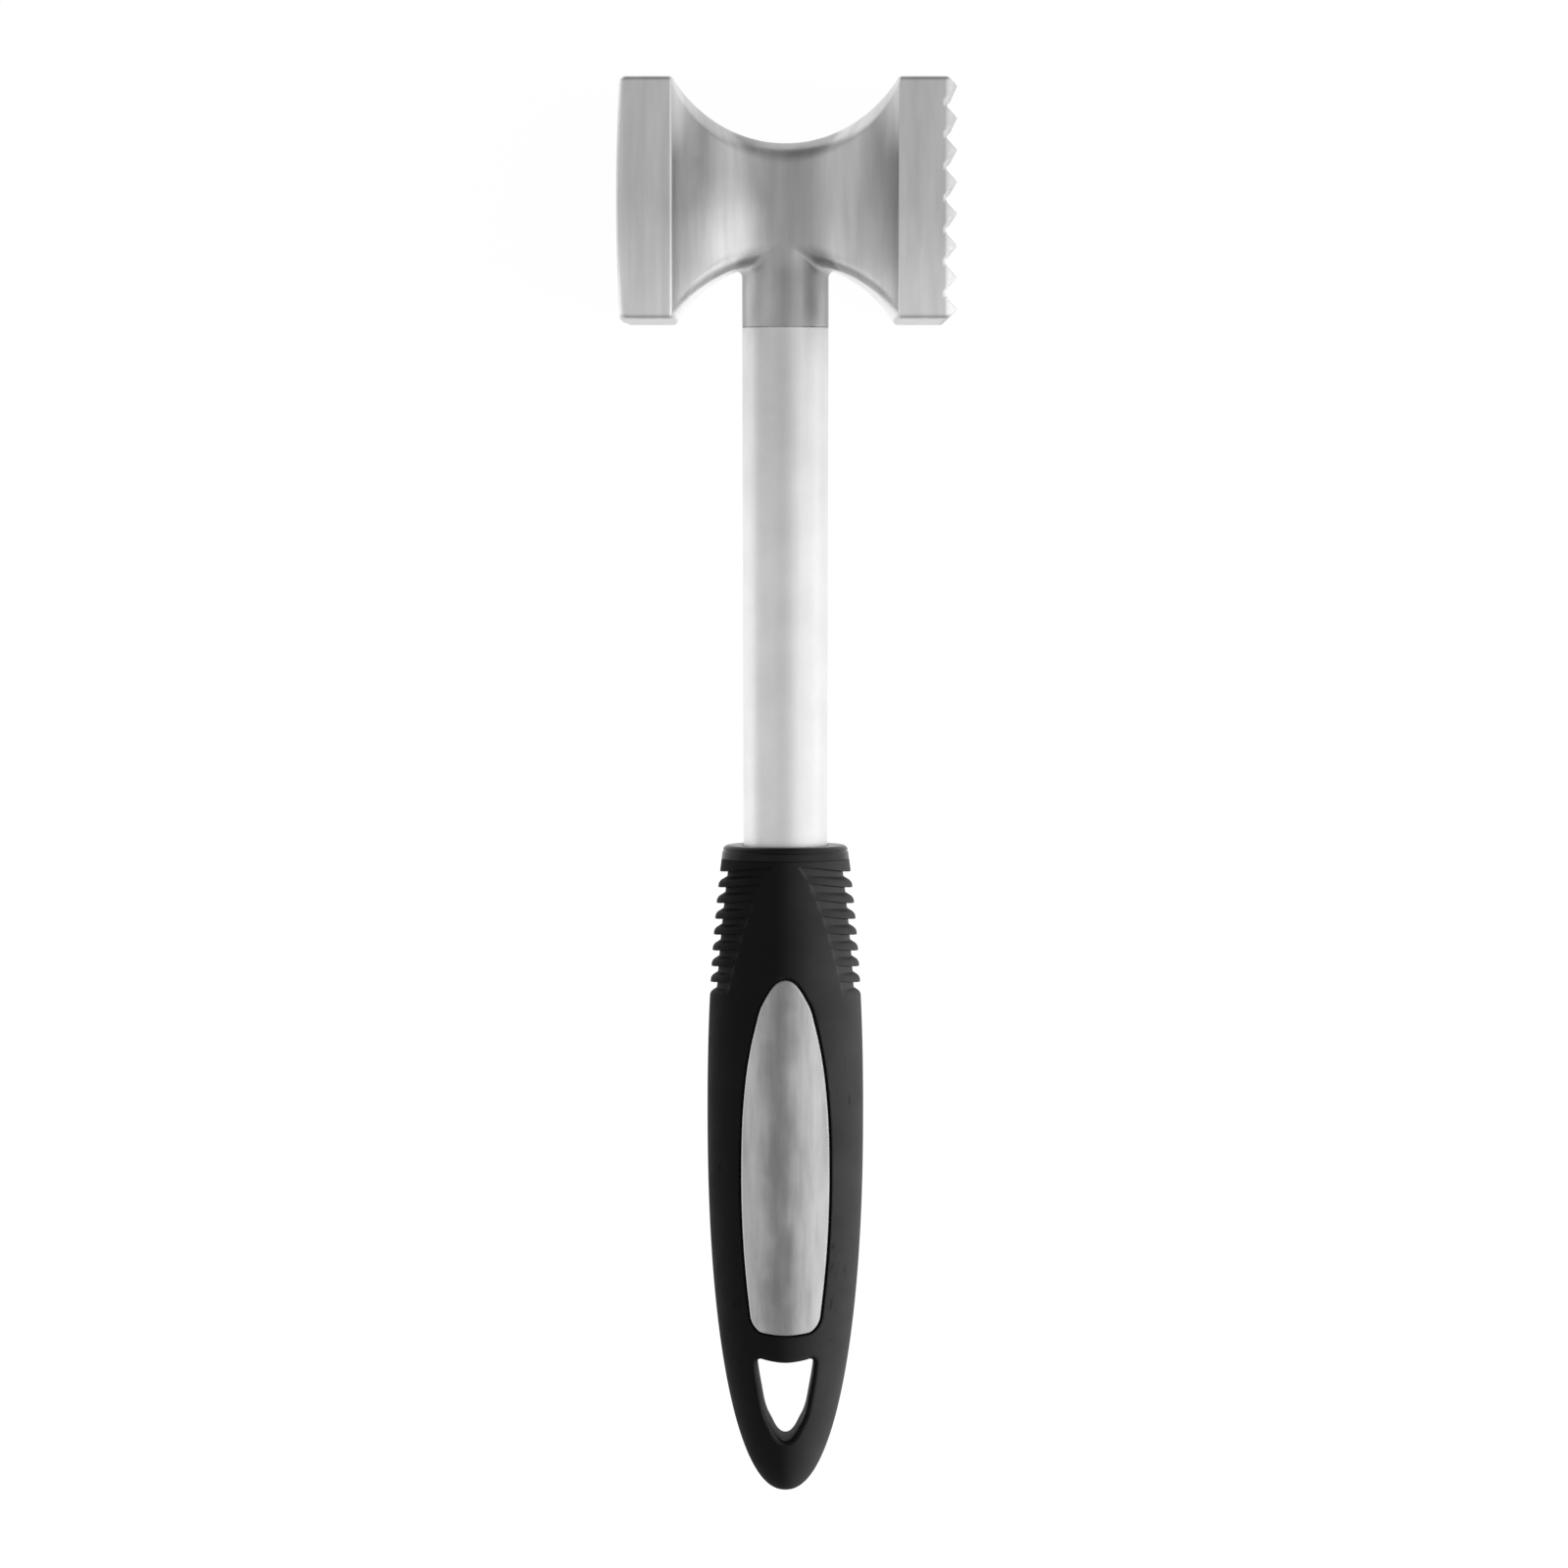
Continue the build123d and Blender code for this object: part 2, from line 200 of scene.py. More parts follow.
def smooth_step(value, low, high):
    """0 below low, 1 above high, and a smooth rise between."""
    share = np.clip((value - low) / (high - low), 0, 1)
    return share * share * (3 - 2 * share)


def hermite(start, end, leaving, arriving, count):
    """Points on a smooth curve between two points with given directions."""
    start, end, leaving, arriving = (np.array(v, float) for v in (start, end, leaving, arriving))
    t = np.linspace(0, 1, count, endpoint=False)[:, None]
    return (
        (2 * t**3 - 3 * t**2 + 1) * start
        + (t**3 - 2 * t**2 + t) * leaving
        + (3 * t**2 - 2 * t**3) * end
        + (t**3 - t**2) * arriving
    )


def natural_curve(points, start_direction, end_direction, count):
    """Smooth curve through the points, with its end directions given."""
    points = [np.array(p, float) for p in points]
    chords = [np.linalg.norm(b - a) for a, b in zip(points, points[1:])]
    directions = [np.array(start_direction, float)]
    for index in range(1, len(points) - 1):
        before = (points[index] - points[index - 1]) / chords[index - 1]
        after = (points[index + 1] - points[index]) / chords[index]
        share = chords[index - 1] / (chords[index - 1] + chords[index])
        directions.append(before * (1 - share) + after * share)
    directions.append(np.array(end_direction, float))
    runs = [
        hermite(a, b, u * chord, v * chord, count)
        for a, b, u, v, chord in zip(points, points[1:], directions, directions[1:], chords)
    ]
    return np.concatenate([*runs, points[-1:]])


def polygon_distance(polygon, x, y):
    """Signed distance in the plane from a closed polygon, negative inside."""
    nearest = np.full(np.broadcast(x, y).shape, 1e9)
    inside = np.zeros(nearest.shape, bool)
    for (ax, ay), (bx, by) in zip(polygon, np.roll(polygon, -1, axis=0)):
        ex, ey = bx - ax, by - ay
        share = np.clip(((x - ax) * ex + (y - ay) * ey) / (ex * ex + ey * ey), 0, 1)
        nearest = np.minimum(nearest, (x - ax - share * ex) ** 2 + (y - ay - share * ey) ** 2)
        if ey:
            inside ^= ((ay > y) != (by > y)) & (x < ax + (y - ay) * ex / ey)
    return np.where(inside, -1, 1) * np.sqrt(nearest)


def distance_map(outline, step=0.1, margin=4.0):
    """Function that looks up the signed distance from an outline that is even about X = 0."""
    low_y = outline[:, 1].min() - margin
    places_x = np.arange(0, outline[:, 0].max() + margin, step)
    places_y = np.arange(low_y, outline[:, 1].max() + margin, step)
    values = polygon_distance(outline, places_x[:, None], places_y[None, :])

    def look_up(x, y):
        """Bilinear reading of the map; beyond its edge the edge's value holds."""
        x, y = np.broadcast_arrays(np.abs(x), y)
        across = np.clip(x / step, 0, len(places_x) - 1.001)
        along = np.clip((y - low_y) / step, 0, len(places_y) - 1.001)
        i, j = across.astype(int), along.astype(int)
        across, along = across - i, along - j
        near = values[i, j] * (1 - along) + values[i, j + 1] * along
        far = values[i + 1, j] * (1 - along) + values[i + 1, j + 1] * along
        return near * (1 - across) + far * across

    return look_up


def mirrored(side):
    """Closed outline from its +X side, whose ends lie on the axis."""
    other = side[1:-1][::-1] * (-1, 1)
    return np.concatenate([side, other])


def badge_outline():
    """Rounded point towards the head, a shallow arc with rounded corners at the other end."""
    widest, tip_y, end_y = badge_high.x, badge_high.y, badge_low.y
    side_end, end_start = (
        (share * widest, end_y + above) for share, above in (BADGE_SIDE_END, BADGE_END_START)
    )
    side = natural_curve(
        ((0, tip_y), *((share * widest, tip_y - below) for share, below in BADGE_SIDE), side_end),
        (1, 0), (-0.12, -1), 30,
    )
    corner = hermite(side_end, end_start, (-0.4, -2.9), (-2.9, -0.75), 24)
    end = hermite(end_start, (0, end_y), (-4.0, -0.8), (-4.2, 0), 12)
    return mirrored(np.concatenate([side[:-1], corner, end, [(0, end_y)]]))


def hole_outline():
    """Rounded triangle with a sagging top edge, pointing to the tip."""
    length = HOLE_TOP_Y - HOLE_END_Y
    top_end = (HOLE_CORNER[0] * HOLE_HALF_WIDTH, HOLE_TOP_Y - HOLE_CORNER[1])
    side_start = (HOLE_HALF_WIDTH, HOLE_TOP_Y - HOLE_SIDE_DROP)
    top = hermite((0, HOLE_TOP_Y - HOLE_TOP_SAG), top_end, (4.3, 0), (4.2, 1.1), 12)
    corner = hermite(top_end, side_start, (0.95, 0.24), (0.0, -1.0), 16)
    side = natural_curve(
        (
            side_start,
            *((across * HOLE_HALF_WIDTH, HOLE_TOP_Y - down * length) for across, down in HOLE_SIDE),
            (0, HOLE_END_Y),
        ),
        (-0.05, -1), (-1, 0), 30,
    )
    return mirrored(np.concatenate([top, corner, side]))


BADGE_OUTLINE = badge_outline()
HOLE_OUTLINE = hole_outline()
badge_distance = distance_map(BADGE_OUTLINE)
hole_distance = distance_map(HOLE_OUTLINE)


# ---------------------------------------------------------------- head


def tooth_height(offset):
    """X of the toothed face at a distance across it: round-bottomed V grooves."""
    tip_half = TOOTH_PITCH / 2 - TOOTH_TIP / 2
    tangent = TOOTH_VALLEY_RADIUS * np.sqrt(0.5)
    across = np.abs((offset + TOOTH_PITCH * TEETH / 2 + TOOTH_PITCH / 2) % TOOTH_PITCH - TOOTH_PITCH / 2)
    bottom = HALF_HEAD_LENGTH - tip_half + TOOTH_VALLEY_RADIUS * (np.sqrt(2) - 1)
    low = np.minimum(across, tangent)
    valley = bottom + TOOTH_VALLEY_RADIUS - np.sqrt(TOOTH_VALLEY_RADIUS**2 - low**2)
    return valley + np.maximum(across - tangent, 0)


def waist_radius(half_waist):
    """Radius of the hollow that narrows the head to this half size."""
    rise = HALF_FACE - half_waist
    return (rise**2 + WAIST_END_X**2) / (2 * rise)


def waist_hollow(x, across, half_waist):
    """Distance into the cylinder that hollows one side of the waist."""
    radius = waist_radius(half_waist)
    return radius - np.hypot(x, np.abs(across) - half_waist - radius)


def waist_half(x, half_waist):
    """Half size of the waist at x, up to the end's full size."""
    radius = waist_radius(half_waist)
    return half_waist + radius - np.sqrt(radius**2 - np.minimum(np.abs(x), WAIST_END_X) ** 2)


def head_places(u, v, w):
    """Grid places that follow the hollows of the waist, and the neck below it."""
    side_v, side_w = (np.clip(n, -HALF_FACE, HALF_FACE) for n in (v, w))
    y = v - side_v + side_v * waist_half(u, WAIST_HALF_HEIGHT) / HALF_FACE
    z = w - side_w + side_w * waist_half(u, WAIST_HALF_DEPTH) / HALF_FACE
    return u, HEAD_Y + y, AXIS_Z + z


def head_field(x, y, z):
    """Cast head: two square ends, a waist hollowed on four sides, teeth and neck boss."""
    y = y - HEAD_Y
    z = z - AXIS_Z
    sides = round_both(np.abs(y) - HALF_FACE, np.abs(z) - HALF_FACE, END_CORNER)
    crown_x = FACE_CROWN_RADIUS - HALF_HEAD_LENGTH
    crown = np.sqrt((x - crown_x) ** 2 + y**2 + z**2) - FACE_CROWN_RADIUS
    body = round_both(sides, crown, FACE_EDGE)
    slope = np.sqrt(0.5)
    teeth = round_both((x - tooth_height(y)) * slope, (x - tooth_height(z)) * slope, TOOTH_EDGE)
    teeth = round_both(teeth, x - HALF_HEAD_LENGTH, TOOTH_EDGE)
    body = round_both(body, teeth, TEETH_RIM)
    near_end = np.clip(1 - (x / WAIST_END_X) ** 2, 0, 1)
    corner = END_CORNER + (WAIST_CORNER - END_CORNER) * near_end
    waist = round_both(
        waist_hollow(x, y, WAIST_HALF_HEIGHT), waist_hollow(x, z, WAIST_HALF_DEPTH), corner
    )
    body = round_both(body, waist, RIM_ROUND)
    boss = np.hypot(x, z) - NECK_RADIUS
    boss = np.maximum(boss, y + NECK_TOP_DROP)
    boss = round_both(boss, NECK_END_Y - HEAD_Y - y, SEAM_CHAMFER)
    beside = smooth_step(np.abs(x), *NECK_FRONT_X)
    blend = NECK_FRONT_BLEND + (NECK_BLEND - NECK_FRONT_BLEND) * beside
    return round_either(body, boss, blend)


# ---------------------------------------------------------------- grip


def grip_size(y):
    """Half width and half depth of the grip at y, up from its widest station."""
    share = np.clip((y - GRIP_WIDEST_Y) / (SLEEVE_TOP_Y - GRIP_WIDEST_Y), 0, 1.1)
    width = GRIP_HALF_WIDTH - TAPER_DROP * share**TAPER_EXPONENT
    return width, width * (DEPTH_RATIO + COLLAR_EXTRA_RATIO * share**2)


def section_size(y):
    """Half width and half depth of the grip at y, with the nose's narrowing."""
    width, depth = grip_size(y)
    along = np.maximum((GRIP_WIDEST_Y - y) / (GRIP_WIDEST_Y - TIP_Y), 0)
    nose = (1 - along**GRIP_EXPONENT) ** (1 / GRIP_EXPONENT)
    return width * nose, depth * nose


def grip_field(x, y, z):
    """Distance from the grip's outer skin: elliptical sections and a superellipse nose."""
    z = z - AXIS_Z
    width, depth = grip_size(y)
    ring = np.hypot(x / width, z / depth)
    ring_slope = np.hypot(x / width**2, z / depth**2) / np.maximum(ring, 1e-6)
    along = np.maximum((GRIP_WIDEST_Y - y) / (GRIP_WIDEST_Y - TIP_Y), 0)
    level = (ring**GRIP_EXPONENT + along**GRIP_EXPONENT) ** (1 / GRIP_EXPONENT)
    level = np.maximum(level, 1e-6)
    ring_part = (ring / level) ** (GRIP_EXPONENT - 1) * ring_slope
    along_part = (along / level) ** (GRIP_EXPONENT - 1) / (GRIP_WIDEST_Y - TIP_Y)
    return (level - 1) / np.hypot(ring_part, along_part)


def rib_grooves(x, y, z, skin):
    """Field of the barbed grooves: flat undersides, fading out at the tongue."""
    width, depth = grip_size(y)
    arch = RIB_ARCH * np.minimum(np.abs(z - AXIS_Z) / depth, 1.1) ** 2
    tongue_share = np.clip((TONGUE_TIP_Y - y + arch) / TONGUE_LENGTH, 0, 1.3)
    tongue = TONGUE_HALF_WIDTH * tongue_share**TONGUE_EXPONENT
    fade = np.clip((np.abs(x) - tongue) / np.maximum(width - tongue, 0.5), 0, 1)
    cut = GROOVE_DEPTH * fade**GROOVE_FADE_EXPONENT
    lowered = FIRST_RIB_Y + arch - y
    index = np.clip(np.floor(lowered / RIB_PITCH), 0, RIB_COUNT - 1)
    below = lowered - index * RIB_PITCH
    flat = GROOVE_FLOOR + FADED_FLOOR_EXTRA * (1 - fade)
    run = GROOVE_FLANK * (FADED_FLANK_SHARE + (1 - FADED_FLANK_SHARE) * fade)
    flank = ((below - flat) * cut - (skin + cut) * run) / np.hypot(cut, run)
    groove = round_both(np.maximum(-skin - cut, -below), flank, GROOVE_ROUND)
    return groove + FADED_LIFT * (1 - smooth_step(fade, 0.0, FADED_LIFT_END)), below


def opening_edge(v):
    """Half width at v of the badge or the hang hole, held off zero past their ends."""
    half = len(BADGE_OUTLINE) // 2 + 1
    edge = np.interp(-v, -BADGE_OUTLINE[:half, 1], BADGE_OUTLINE[:half, 0])
    half = len(HOLE_OUTLINE) // 2 + 1
    hole = np.interp(-v, -HOLE_OUTLINE[:half, 1], HOLE_OUTLINE[:half, 0], HOLE_HALF_WIDTH)
    mix = smooth_step(-v, *OPENING_CHANGE)
    low = OPENING_LEAST - OPENING_LEAST_DROP * smooth_step(-v, *OPENING_LEAST_CHANGE)
    return np.maximum(edge * (1 - mix) + hole * mix, low)


def grip_places(turn, v, rise):
    """Grid places round the grip's skin, along the badge's sides and the arched ribs."""
    width, depth = section_size(v)
    edge = np.arcsin(opening_edge(v) / width)
    size = np.abs(turn)
    front = np.where(
        size < OPENING_TURN,
        size * edge / OPENING_TURN,
        edge + (size - OPENING_TURN) * (pi / 2 - edge) / (pi / 2 - OPENING_TURN),
    )
    angle = np.sign(turn) * np.where(size < pi / 2, front, size)
    ribbed = smooth_step(-v, *ARCH_START) * (1 - smooth_step(-v, *ARCH_END))
    y = v + RIB_ARCH * ribbed * np.cos(angle) ** 2
    return (width + rise) * np.sin(angle), y, AXIS_Z + (depth + rise) * np.cos(angle)


def badge_places(u, v, w):
    """Grid places in layers parallel to the grip's skin, between the badge's sides."""
    width, depth = section_size(v)
    x = u * opening_edge(v)
    height = depth * np.sqrt(1 - (x / width) ** 2)
    return x, v, AXIS_Z + height + w


def nose_field(x, y, z):
    """End of the sleeve, which dips under the rest of it past the seam."""
    return sleeve_field(x, y, z) + NOSE_LAP * smooth_step(y, NOSE_SEAM_Y, NOSE_SEAM_Y + NOSE_LAP_RUN)


def sleeve_field(x, y, z):
    """Rubber sleeve: a skin over the core, with ribs, badge window and hang hole."""
    skin = grip_field(x, y, z)
    groove, below = rib_grooves(x, y, z, skin)
    edge = RIB_TIP_ROUND + RIB_BACK_EXTRA_ROUND * smooth_step(below, *RIB_BACK_START)
    outer = round_both(skin, -groove, edge)
    outer = round_both(outer, y - SLEEVE_TOP_Y, PARTING_ROUND)
    window = badge_distance(x, y) - WINDOW_GAP
    outer = round_both(outer, -np.maximum(window, AXIS_Z - z), WINDOW_LIP)
    hole = hole_distance(x, y)
    outer = round_both(outer, -hole, HOLE_ROUND)
    core = np.maximum(skin + SLEEVE_WALL, HOLE_LINING - hole)
    return np.maximum(outer, -core)


def sleeve_inside(x, y, z):
    """Field of what lies deeper than the sleeve's wall, where the core hides its lining."""
    under_skin = grip_field(x, y, z) + SLEEVE_WALL - HIDDEN_DEPTH
    return np.maximum(under_skin, HOLE_LINING - HIDDEN_DEPTH - hole_distance(x, y))


def badge_field(x, y, z):
    """Crowned steel plate with a rolled edge."""
    skin = grip_field(x, y, z)
    outline = badge_distance(x, y)
    face = round_both(skin - BADGE_PROUD, outline, BADGE_EDGE)
    back = BADGE_PROUD - BADGE_THICKNESS - skin
    return np.maximum(round_both(face, back, BADGE_BACK_EDGE), AXIS_Z - z)


def collar_field(x, y, z):
    """Hard ring above the sleeve, bored for the stem, with the plug hidden below."""
    ring = round_both(grip_field(x, y, z), y - COLLAR_TOP_Y, COLLAR_ROUND)
    ring = round_both(ring, SLEEVE_TOP_Y - y, PARTING_ROUND)
    line = np.exp(-(((y - COLLAR_TOP_Y + COLLAR_LINE_DROP) / COLLAR_LINE_WIDTH) ** 2))
    ring = ring + COLLAR_LINE_DEPTH * line
    bore = np.hypot(x, z - AXIS_Z) - NECK_RADIUS - COLLAR_BORE_GAP
    return round_both(ring, -bore, COLLAR_BORE_ROUND)


# ---------------------------------------------------------------- meshing


def plain_places(u, v, w):
    """Grid places left as they are."""
    return u, v, w


def surface_nets(field, grids, places_of, closed):
    """Points and quads of the surface where field crosses zero on a bent grid.

    A closed grid goes once round, so its last cells along its first axis are its first.
    """
    values = field(*places_of(*np.meshgrid(*grids, indexing="ij")))
    solid = values < 0
    shape = tuple(n - 1 for n in solid.shape)
    corners = [(i, j, k) for i in (0, 1) for j in (0, 1) for k in (0, 1)]
    view = {
        c: tuple(slice(o, o + n) for o, n in zip(c, shape)) for c in corners
    }
    count = sum(solid[view[c]].astype(np.int8) for c in corners)
    cells = np.argwhere((count > 0) & (count < 8))
    total = np.zeros((len(cells), 3))
    hits = np.zeros(len(cells))
    places = [np.asarray(g) for g in grids]
    for axis in range(3):
        for first in corners:
            if first[axis]:
                continue
            a = cells + first
            b = a.copy()
            b[:, axis] += 1
            va, vb = values[tuple(a.T)], values[tuple(b.T)]
            crossed = (va < 0) != (vb < 0)
            share = np.where(crossed, va / np.where(crossed, va - vb, 1), 0)
            point = np.stack([places[i][a[:, i]] for i in range(3)], axis=1)
            point[:, axis] += share * (places[axis][b[:, axis]] - places[axis][a[:, axis]])
            total += point * crossed[:, None]
            hits += crossed
    points = np.stack(places_of(*(total / hits[:, None]).T), axis=1)
    number = np.full(shape, -1, np.int64)
    number[tuple(cells.T)] = np.arange(len(cells))
    if closed:
        number[-1] = number[0]
    quads = []
    for axis in range(3):
        u, v = (axis + 1) % 3, (axis + 2) % 3
        low = [slice(0, n) for n in solid.shape]
        high = list(low)
        low[axis], high[axis] = slice(0, -1), slice(1, None)
        leaving = solid[tuple(low)] & ~solid[tuple(high)]
        entering = ~solid[tuple(low)] & solid[tuple(high)]
        for edges, turn in ((leaving, 1), (entering, -1)):
            at = np.argwhere(edges)
            at = at[(at[:, u] > 0) & (at[:, v] > 0) & (at[:, u] < shape[u]) & (at[:, v] < shape[v])]
            if closed and axis == 0:
                at = at[at[:, 0] < shape[0] - 1]
            ring = []
            for du, dv in ((-1, -1), (0, -1), (0, 0), (-1, 0))[::turn]:
                cell = at.copy()
                cell[:, u] += du
                cell[:, v] += dv
                ring.append(number[tuple(cell.T)])
            quads.append(np.stack(ring, axis=1))
    return points, np.concatenate(quads)


def gradient(field, points, reach=0.02):
    """Slope of the field at each point."""
    slopes = []
    for axis in range(3):
        ahead, behind = points.copy(), points.copy()
        ahead[:, axis] += reach
        behind[:, axis] -= reach
        slopes.append((field(*ahead.T) - field(*behind.T)) / (2 * reach))
    return np.stack(slopes, axis=1)


def settle(field, points, farthest, rounds=3):
    """Moves points onto the surface along the field's slope."""
    for _ in range(rounds):
        slope = gradient(field, points)
        length = np.maximum((slope**2).sum(1), LEAST_SLOPE)
        move = -slope * (field(*points.T) / length)[:, None]
        size = np.linalg.norm(move, axis=1)
        move *= np.minimum(1, farthest / np.maximum(size, 1e-9))[:, None]
        points = points + move
    return points


def spaced(*runs):
    """Grid places from runs of (start, end, step)."""
    places = []
    for start, end, step in runs:
        count = max(1, round((end - start) / step))
        places.extend(np.linspace(start, end, count, endpoint=False))
    return np.array([*places, runs[-1][1]])


def make_piece(name, points, faces, material, stands_for, normals=None):
    """Object from points in millimetres, riding on the tool's one body."""
    mesh = bpy.data.meshes.new(name)
    mesh.from_pydata((points * MM).tolist(), [], faces if isinstance(faces, list) else faces.tolist())
    mesh.update()
    mesh.polygons.foreach_set("use_smooth", [True] * len(mesh.polygons))
    mesh.materials.append(material)
    if normals is not None:
        normals = normals / np.maximum(np.linalg.norm(normals, axis=1), 1e-9)[:, None]
        mesh.normals_split_custom_set_from_vertices(normals.tolist())
    piece = bpy.data.objects.new(name, mesh)
    bpy.context.scene.collection.objects.link(piece)
    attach(piece, "root")
    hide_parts(stands_for)
    return piece


def carve(name, field, grids, places_of, material, stands_for, closed=False, hidden=None):
    """Piece whose skin is the zero surface of a field, less the faces in the hidden field."""
    points, quads = surface_nets(field, grids, places_of, closed)
    points = settle(field, points, FARTHEST_MOVE)
    if hidden is not None:
        quads = quads[(hidden(*points.T) >= 0)[quads].any(axis=1)]
    used, quads = np.unique(quads, return_inverse=True)
    points, quads = points[used], quads.reshape(-1, 4)
    return make_piece(name, points, quads, material, stands_for, gradient(field, points))


def lathe(name, profile, material, stands_for, segments=144):
    """Piece turned about the tool's axis from (radius, y) places; ends lie on the axis."""
    rings = np.array(profile[1:-1])
    angles = 2 * pi * np.arange(segments) / segments
    x = rings[:, :1] * np.sin(angles)
    z = AXIS_Z + rings[:, :1] * np.cos(angles)
    y = np.repeat(rings[:, 1:], segments, axis=1)
    caps = [(0, profile[0][1], AXIS_Z), (0, profile[-1][1], AXIS_Z)]
    points = np.concatenate([np.stack([x, y, z], axis=2).reshape(-1, 3), caps])
    here = np.arange(segments)
    after = (here + 1) % segments
    faces = []
    for ring in range(len(rings) - 1):
        low, high = ring * segments, (ring + 1) * segments
        faces.extend(np.stack([low + here, low + after, high + after, high + here], 1).tolist())
    last = (len(rings) - 1) * segments
    faces.extend([len(points) - 2, b, a] for a, b in zip(here.tolist(), after.tolist()))
    faces.extend([len(points) - 1, last + a, last + b] for a, b in zip(here.tolist(), after.tolist()))
    piece = make_piece(name, points, faces, material, stands_for)
    piece.data.set_sharp_from_angle(angle=radians(30))
    return piece


# ---------------------------------------------------------------- materials

# What a noise mostly spans of its range, and the noises of rubber and plastic
NOISE_SPAN = (0.3, 0.7)
POLYMER_TONE = (140, 4.0)
POLYMER_SHEEN = (220, 3.0)


def new_material(name):
    """Empty node material with its principled shader."""
    material = bpy.data.materials.new(name)
    material.use_nodes = True
    shader = material.node_tree.nodes["Principled BSDF"]
    return material, shader


def add(material, kind, **settings):
    """Node with its plain settings made."""
    node = material.node_tree.nodes.new(kind)
    for key, value in settings.items():
        setattr(node, key, value)
    return node


def link(material, source, target):
    """Joins two sockets."""
    material.node_tree.links.new(source, target)


def noise(material, scale, detail=4.0, stretch=(1, 1, 1), roughness=0.55):
    """Noise on object coordinates, stretched along chosen axes."""
    place = add(material, "ShaderNodeTexCoord")
    mapping = add(material, "ShaderNodeMapping")
    mapping.inputs["Scale"].default_value = stretch
    texture = add(material, "ShaderNodeTexNoise")
    texture.inputs["Scale"].default_value = scale
    texture.inputs["Detail"].default_value = detail
    texture.inputs["Roughness"].default_value = roughness
    link(material, place.outputs["Object"], mapping.inputs["Vector"])
    link(material, mapping.outputs["Vector"], texture.inputs["Vector"])
    return texture.outputs["Fac"]


def remap(material, source, low, high, start=0.0, end=1.0):
    """Maps a value from one range to another."""
    node = add(material, "ShaderNodeMapRange")
    node.inputs["From Min"].default_value = start
    node.inputs["From Max"].default_value = end
    node.inputs["To Min"].default_value = low
    node.inputs["To Max"].default_value = high
    link(material, source, node.inputs["Value"])
    return node.outputs["Result"]


def grey_mix(material, source, dark, light):
    """Colour between two greys or tints, by a value from 0 to 1."""
    ramp = add(material, "ShaderNodeValToRGB")
    ramp.color_ramp.elements[0].color = (*dark, 1)
    ramp.color_ramp.elements[1].color = (*light, 1)
    link(material, source, ramp.inputs["Fac"])
    return ramp.outputs["Color"]


def bump(material, shader, layers):
    """Chain of bumps, each a height and how far it stands in metres."""
    previous = None
    for height, distance in layers:
        node = add(material, "ShaderNodeBump")
        node.inputs["Distance"].default_value = distance
        link(material, height, node.inputs["Height"])
        if previous is not None:
            link(material, previous, node.inputs["Normal"])
        previous = node.outputs["Normal"]
    link(material, previous, shader.inputs["Normal"])


def shaded(material, colour, patches, wander=0.0025):
    """Colour scaled by soft-edged patches of painted light and shade, whose edges wander a little.

    Each patch is (gain, ((axis, middle, near, far), ...)): the full gain holds up to near
    and fades out at far, both measured in metres from middle along the axis.
    """
    place = add(material, "ShaderNodeTexCoord").outputs["Object"]
    drift = add(material, "ShaderNodeTexNoise")
    drift.inputs["Scale"].default_value = 130
    link(material, place, drift.inputs["Vector"])
    shifted = add(material, "ShaderNodeVectorMath", operation="MULTIPLY_ADD")
    link(material, drift.outputs["Color"], shifted.inputs[0])
    shifted.inputs[1].default_value = (2 * wander, 2 * wander, 0)
    link(material, place, shifted.inputs[2])
    axes = add(material, "ShaderNodeSeparateXYZ")
    link(material, shifted.outputs["Vector"], axes.inputs["Vector"])
    for gain, limits in patches:
        mask = None
        for axis, middle, near, far in limits:
            away = add(material, "ShaderNodeMath", operation="SUBTRACT")
            away.inputs[1].default_value = middle + (0 if axis == "Z" else wander)
            link(material, axes.outputs[axis], away.inputs[0])
            size = add(material, "ShaderNodeMath", operation="ABSOLUTE")
            link(material, away.outputs["Value"], size.inputs[0])
            part = remap(material, size.outputs["Value"], 1, 0, near, far)
            part.node.interpolation_type = "SMOOTHSTEP"
            if mask is not None:
                both = add(material, "ShaderNodeMath", operation="MULTIPLY")
                link(material, mask, both.inputs[0])
                link(material, part, both.inputs[1])
                part = both.outputs["Value"]
            mask = part
        scaled = add(material, "ShaderNodeVectorMath", operation="SCALE")
        link(material, colour, scaled.inputs["Vector"])
        link(material, remap(material, mask, 1, 1 + gain), scaled.inputs["Scale"])
        colour = scaled.outputs["Vector"]
    return colour


def metal(name, dark, light, roughness, layers, mottle, streaks, painted_light_and_shade=(), edges=()):
    """Bare metal: mottled tone, painted light and shade, uneven roughness and fine surface marks."""
    material, shader = new_material(name)
    shader.inputs["Metallic"].default_value = 1.0
    tone = remap(material, noise(material, *mottle), 0, 1, *NOISE_SPAN)
    # Painted light and shade patches scaled into the colour, then painted shade along edges
    colour = shaded(material, grey_mix(material, tone, dark, light), painted_light_and_shade)
    colour = shaded(material, colour, edges, wander=0)
    link(material, colour, shader.inputs["Base Color"])
    rough = remap(material, noise(material, *streaks), *roughness, *NOISE_SPAN)
    link(material, rough, shader.inputs["Roughness"])
    bump(material, shader, [(noise(material, *marks), distance) for marks, distance in layers])
    return material


